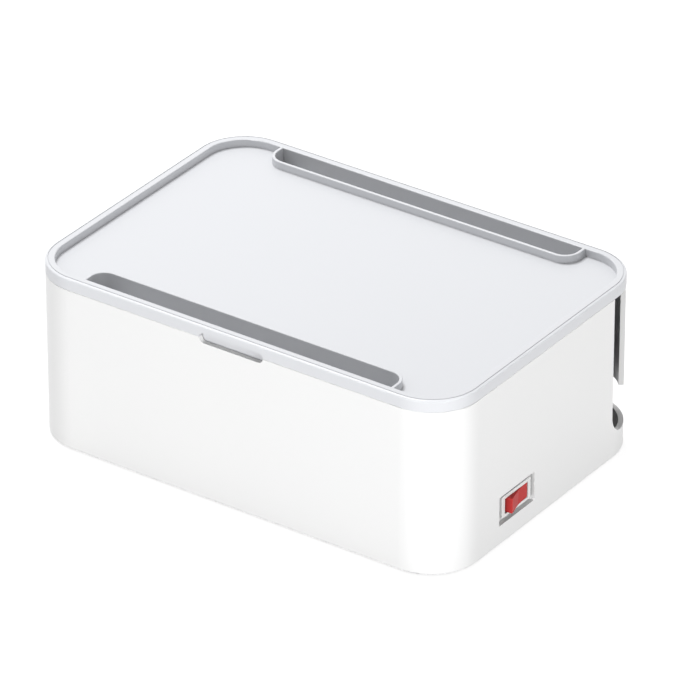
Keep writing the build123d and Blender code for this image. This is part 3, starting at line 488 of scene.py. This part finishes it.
transformer_finish = moulded_plastic(
    "ferrite", (ferrite_grey, ferrite_grey_deep), ferrite_gloss,
    grain=2500.0, grain_share=0.8, relief=0.0001)
transformer_tree = transformer_finish.node_tree
across_frame = measured_from(transformer_tree, middle_of("transformer"))[1]
from_frame = reckon(transformer_tree, "ABSOLUTE", across_frame)
past_frame = reckon(transformer_tree, "GREATER_THAN", from_frame, frame_half_depth)
second_finish(transformer_finish, past_frame, (tape_yellow, tape_yellow_deep), tape_gloss)
finish_nodes(transformer_finish, "transformer")

# ---------------------------------------------------------------- capacitors
# Two aluminium cans in dark blue sleeves. Each sleeve has a pale stripe down the negative side and
# is folded over the end, where the bare can shows.

sleeve_blue = (0.018, 0.026, 0.075, 1.0)
sleeve_blue_deep = (0.014, 0.02, 0.06, 1.0)
sleeve_gloss = (0.2, 0.3)
stripe_grey = (0.50, 0.52, 0.55, 1.0)
stripe_gloss = (0.25, 0.35)
can_bright = (0.80, 0.80, 0.81, 1.0)
can_dull = (0.70, 0.70, 0.71, 1.0)
can_gloss = (0.3, 0.4)
can_spacing = 0.018
can_bare_radius = 0.0031
can_end_depth = 0.0002
stripe_from_axis = 0.0034

capacitor_finish = moulded_plastic(
    "capacitor_sleeve", (sleeve_blue, sleeve_blue_deep), sleeve_gloss)
capacitor_tree = capacitor_finish.node_tree
can_end = middle_of("capacitors")
can_end.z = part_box("capacitors")[0][2]
along, across, above = measured_from(capacitor_tree, can_end)
from_middle = reckon(capacitor_tree, "ABSOLUTE", along)
from_axis = reckon(capacitor_tree, "SUBTRACT", from_middle, can_spacing / 2)
on_stripe = reckon(capacitor_tree, "GREATER_THAN", across, stripe_from_axis)
second_finish(capacitor_finish, on_stripe, (stripe_grey, stripe_grey), stripe_gloss)
radius_squared = reckon(
    capacitor_tree, "ADD",
    reckon(capacitor_tree, "MULTIPLY", from_axis, from_axis),
    reckon(capacitor_tree, "MULTIPLY", across, across),
)
on_end = reckon(
    capacitor_tree, "MULTIPLY",
    reckon(capacitor_tree, "LESS_THAN", radius_squared, can_bare_radius ** 2),
    reckon(capacitor_tree, "LESS_THAN", above, can_end_depth),
)
second_finish(capacitor_finish, on_end, (can_bright, can_dull), can_gloss)
finish_nodes(capacitor_finish, "capacitors")

# ---------------------------------------------------------------- USB ports
# Steel shells, formed from sheet and plated with nickel, stand on the board. Each holds a black
# moulded tongue, which ends a little below its mouth.

nickel_bright = (0.74, 0.72, 0.68, 1.0)
nickel_dull = (0.62, 0.60, 0.56, 1.0)
nickel_gloss = (0.18, 0.32)
shell_streaks = (1200.0, 1200.0, 90.0)
port_black = (0.022, 0.022, 0.024, 1.0)
port_black_deep = (0.03, 0.03, 0.032, 1.0)
port_gloss = (0.35, 0.45)

shell_finish = metal("shell_nickel", (nickel_bright, nickel_dull), nickel_gloss, shell_streaks)
finish_nodes(shell_finish, "usb_a_shells", "usb_c_shell")
tongue_finish = moulded_plastic("port_plastic", (port_black, port_black_deep), port_gloss)
finish_nodes(tongue_finish, "usb_a_tongues", "usb_c_tongue")

# ---------------------------------------------------------------- switch body
# The housing is moulded from white plastic, and its barbs snap into the strip's end. Its three
# tabs are pressed from brass, and the see-saw blade from copper with a thin silver face.

switch_white = (0.85, 0.85, 0.845, 1.0)
switch_white_deep = (0.82, 0.82, 0.815, 1.0)
switch_gloss = (0.3, 0.36)
blade_bright = (0.86, 0.66, 0.50, 1.0)
blade_dull = (0.72, 0.46, 0.30, 1.0)
blade_gloss = (0.16, 0.30)
blade_streaks = (1500.0, 80.0, 1500.0)

housing_finish = moulded_plastic("switch_plastic", (switch_white, switch_white_deep), switch_gloss)
finish_nodes(housing_finish, "switch_housing")
finish_nodes(rail_brass, "switch_terminals")
blade_finish = metal("blade_copper", (blade_bright, blade_dull), blade_gloss, blade_streaks)
finish_nodes(blade_finish, "switch_blade")

# ---------------------------------------------------------------- rocker
# A satin red rocker that stands proud at its front end. A plunger of natural acetal is sprung
# against the blade from a sleeve inside it, and a neon lamp sits under its raised half.

rocker_red = (0.59, 0.055, 0.053, 1.0)
rocker_red_deep = (0.53, 0.045, 0.044, 1.0)
rocker_gloss = (0.26, 0.34)
rocker_shine = 0.05
acetal = (0.78, 0.75, 0.66, 1.0)
acetal_deep = (0.74, 0.70, 0.60, 1.0)
acetal_gloss = (0.3, 0.4)
spring_bright = (0.60, 0.60, 0.61, 1.0)
spring_dull = (0.46, 0.46, 0.47, 1.0)
spring_gloss = (0.15, 0.3)
spring_streaks = (4000.0, 4000.0, 4000.0)
lamp_clear = (0.98, 0.93, 0.89, 1.0)
lamp_smoked = (0.95, 0.86, 0.80, 1.0)
lamp_gloss = (0.02, 0.07)

rocker_finish = moulded_plastic("rocker_plastic", (rocker_red, rocker_red_deep), rocker_gloss)
rocker_shader = rocker_finish.node_tree.nodes["Principled BSDF"]
rocker_shader.inputs["Specular IOR Level"].default_value = rocker_shine
finish_nodes(rocker_finish, "switch_rocker")
plunger_finish = moulded_plastic("acetal", (acetal, acetal_deep), acetal_gloss)
finish_nodes(plunger_finish, "switch_plunger")
spring_finish = metal("spring_wire", (spring_bright, spring_dull), spring_gloss, spring_streaks)
finish_nodes(spring_finish, "plunger_spring")
lamp_finish = moulded_plastic("lamp_glass", (lamp_clear, lamp_smoked), lamp_gloss, drift=300.0)
lamp_shader = lamp_finish.node_tree.nodes["Principled BSDF"]
lamp_shader.inputs["Transmission Weight"].default_value = 1.0
finish_nodes(lamp_finish, "pilot_lamp")

# ---------------------------------------------------------------- wires
# PVC covered wires: brown on the live side and blue on the other, soldered to the tabs, the rails
# and the board.

wire_brown = (0.13, 0.05, 0.02, 1.0)
wire_brown_deep = (0.10, 0.038, 0.016, 1.0)
wire_blue = (0.015, 0.09, 0.42, 1.0)
wire_blue_deep = (0.012, 0.07, 0.34, 1.0)
wire_gloss = (0.35, 0.45)

live_finish = moulded_plastic("brown_cover", (wire_brown, wire_brown_deep), wire_gloss)
finish_nodes(live_finish, "live_link")
neutral_finish = moulded_plastic("blue_cover", (wire_blue, wire_blue_deep), wire_gloss)
finish_nodes(neutral_finish, "lamp_link")
lead_finish = moulded_plastic("lead_covers", (wire_brown, wire_brown_deep), wire_gloss)
lead_tree = lead_finish.node_tree
across_leads = measured_from(lead_tree, middle_of("usb_leads"))[1]
neutral_side = reckon(lead_tree, "GREATER_THAN", across_leads, 0.0)
second_finish(lead_finish, neutral_side, (wire_blue, wire_blue_deep), wire_gloss)
finish_nodes(lead_finish, "usb_leads")

# ---------------------------------------------------------------- sockets
# Each well is a pale grey moulding with two pin holes, and windows for its earth clips. It goes up
# through the strip's cover as far as its flange.

socket_grey = (0.50, 0.51, 0.52, 1.0)
socket_grey_deep = (0.47, 0.48, 0.49, 1.0)
socket_gloss = (0.4, 0.5)
socket_count = 4

socket_finish = moulded_plastic(
    "socket_plastic", (socket_grey, socket_grey_deep), socket_gloss, grain_share=0.5)
finish_nodes(socket_finish, *[f"socket_cup_{number}" for number in range(1, socket_count + 1)])

# ---------------------------------------------------------------- closing screws
# Six zinc plated pan head screws that cut their own thread in the cover's posts. They are driven
# from below, and their heads show a cross recess.

zinc_bright = (0.72, 0.73, 0.75, 1.0)
zinc_dull = (0.58, 0.59, 0.62, 1.0)
zinc_gloss = (0.22, 0.40)
zinc_streaks = (2500.0, 2500.0, 400.0)
closing_columns = 3
closing_head_radius = 0.0028
closing_head_height = 0.0020
closing_thread_radius = 0.0015
head_sides = 48
head_round = 0.0006
head_round_steps = 4
recess_width = 0.0007
recess_reach = 1.15
recess_depth = 0.7
recess_taper = 0.5
tip_length = 0.0012
tip_taper = 0.35
thread_root = 0.74
thread_pitch = 0.75
thread_steps = 18
smooth_under = radians(35.0)
facing_up = 0.9
at_bottom = 0.000001


def pick(piece, kind, wanted):
    """In edit mode, selects the faces or edges that wanted says yes to, and nothing else."""
    bpy.ops.mesh.select_mode(type=kind)
    bpy.ops.mesh.select_all(action="DESELECT")
    mesh = bmesh.from_edit_mesh(piece.data)
    for part in mesh.faces if kind == "FACE" else mesh.edges:
        if wanted(part):
            part.select_set(True)
    bmesh.update_edit_mesh(piece.data)


def join_all(pieces):
    """Joins several pieces into the first."""
    bpy.ops.object.select_all(action="DESELECT")
    for piece in pieces:
        piece.select_set(True)
    bpy.context.view_layer.objects.active = pieces[0]
    bpy.ops.object.join()


def cross_head_screw(name, head_radius, head_height, thread_radius, length):
    """Models one screw at the origin, its head's face down and its tip up."""
    root_radius = thread_root * thread_radius
    pitch = thread_pitch * thread_radius
    # Head, shank and tip
    bpy.ops.object.select_all(action="DESELECT")
    bpy.ops.mesh.primitive_cylinder_add(
        vertices=head_sides, radius=head_radius, depth=head_height,
        location=(0, 0, head_height / 2))
    screw = bpy.context.object
    screw.name = name
    bpy.ops.object.transform_apply(location=True)
    bpy.ops.object.mode_set(mode="EDIT")
    pick(screw, "FACE", lambda face: face.normal.z > facing_up)
    bpy.ops.mesh.inset(thickness=head_radius - root_radius)
    bpy.ops.mesh.extrude_region_move(
        TRANSFORM_OT_translate={"value": (0, 0, length - head_height - tip_length)})
    bpy.ops.mesh.extrude_region_move(TRANSFORM_OT_translate={"value": (0, 0, tip_length)})
    bpy.ops.transform.resize(value=(tip_taper, tip_taper, 1.0), center_override=(0, 0, length))
    pick(screw, "EDGE", lambda edge: max(vertex.co.z for vertex in edge.verts) < at_bottom)
    bpy.ops.mesh.bevel(offset=head_round, segments=head_round_steps)
    bpy.ops.object.mode_set(mode="OBJECT")
    # Two tapered bars cut the recess
    for turn in (0.0, pi / 2):
        bpy.ops.object.select_all(action="DESELECT")
        bpy.ops.mesh.primitive_cube_add(size=1.0, rotation=(0, 0, turn))
        bar = bpy.context.object
        bar.scale = (recess_reach * head_radius, recess_width, 2 * recess_depth * head_height)
        bpy.ops.object.transform_apply(rotation=True, scale=True)
        bpy.ops.object.mode_set(mode="EDIT")
        pick(bar, "FACE", lambda face: face.normal.z > facing_up)
        bpy.ops.transform.resize(
            value=(recess_taper, recess_taper, 1.0),
            center_override=(0, 0, recess_depth * head_height))
        bpy.ops.object.mode_set(mode="OBJECT")
        cut = screw.modifiers.new("recess", "BOOLEAN")
        cut.operation = "DIFFERENCE"
        cut.object = bar
        bpy.context.view_layer.objects.active = screw
        bpy.ops.object.modifier_apply(modifier=cut.name)
        bpy.data.objects.remove(bar)
    # A diamond wound round the shank makes the thread
    bpy.ops.object.select_all(action="DESELECT")
    bpy.ops.mesh.primitive_circle_add(
        vertices=4, radius=thread_radius - root_radius, rotation=(pi / 2, 0, 0),
        location=(root_radius, 0, head_height + pitch))
    thread = bpy.context.object
    bpy.ops.object.transform_apply(location=True, rotation=True)
    winding = thread.modifiers.new("winding", "SCREW")
    winding.screw_offset = pitch
    winding.iterations = int((length - head_height - tip_length) / pitch) - 2
    winding.steps = winding.render_steps = thread_steps
    bpy.ops.object.modifier_apply(modifier=winding.name)
    bpy.ops.object.mode_set(mode="EDIT")
    bpy.ops.mesh.select_all(action="SELECT")
    bpy.ops.mesh.fill_holes(sides=4)
    bpy.ops.mesh.normals_make_consistent(inside=False)
    bpy.ops.object.mode_set(mode="OBJECT")
    join_all([screw, thread])
    bpy.ops.object.shade_smooth_by_angle(angle=smooth_under)
    return screw


def set_for(screw, node, head_radius, columns):
    """Copies a screw to the corners and columns of the node that it stands for, and joins the
    copies."""
    low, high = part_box(node)
    first_x, last_x = low[0] + head_radius, high[0] - head_radius
    pitch_x = (last_x - first_x) / (columns - 1)
    places = [
        Vector((first_x + column * pitch_x, y, low[2]))
        for column in range(columns)
        for y in (low[1] + head_radius, high[1] - head_radius)
    ]
    copies = [screw]
    for _ in places[1:]:
        bpy.ops.object.select_all(action="DESELECT")
        screw.select_set(True)
        bpy.context.view_layer.objects.active = screw
        bpy.ops.object.duplicate()
        copies.append(bpy.context.object)
    for copy, place in zip(copies, places):
        copy.location = place
    join_all(copies)
    bpy.ops.object.transform_apply(location=True)
    screw.data.materials.append(zinc)
    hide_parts(node)
    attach(screw, "box")


zinc = metal("zinc_plate", (zinc_bright, zinc_dull), zinc_gloss, zinc_streaks)
closing_low, closing_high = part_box("strip_screws")
closing_screw = cross_head_screw(
    "closing_screws", closing_head_radius, closing_head_height, closing_thread_radius,
    closing_high[2] - closing_low[2])
set_for(closing_screw, "strip_screws", closing_head_radius, closing_columns)

# ---------------------------------------------------------------- mounting screws
# Four shorter and thicker screws of the same kind. They go up through the case's floor into the
# strip's bosses, with their heads sunk in the floor.

mounting_columns = 2
mounting_head_radius = 0.0035
mounting_head_height = 0.0018
mounting_thread_radius = 0.00175

mounting_low, mounting_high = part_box("mount_screws")
mounting_screw = cross_head_screw(
    "mounting_screws", mounting_head_radius, mounting_head_height, mounting_thread_radius,
    mounting_high[2] - mounting_low[2])
set_for(mounting_screw, "mount_screws", mounting_head_radius, mounting_columns)

# ---------------------------------------------------------------- lid
# The lid, with its tray and both slots, is one moulding in a cooler white, with the same satin
# skin. It lies loose on the case's walls, with its lip inside them.

lid_white = (0.715, 0.725, 0.750, 1.0)
lid_white_deep = (0.698, 0.708, 0.735, 1.0)
lid_gloss = (0.32, 0.40)

lid_finish = moulded_plastic("lid_plastic", (lid_white, lid_white_deep), lid_gloss)
finish_nodes(lid_finish, "lid_tray")
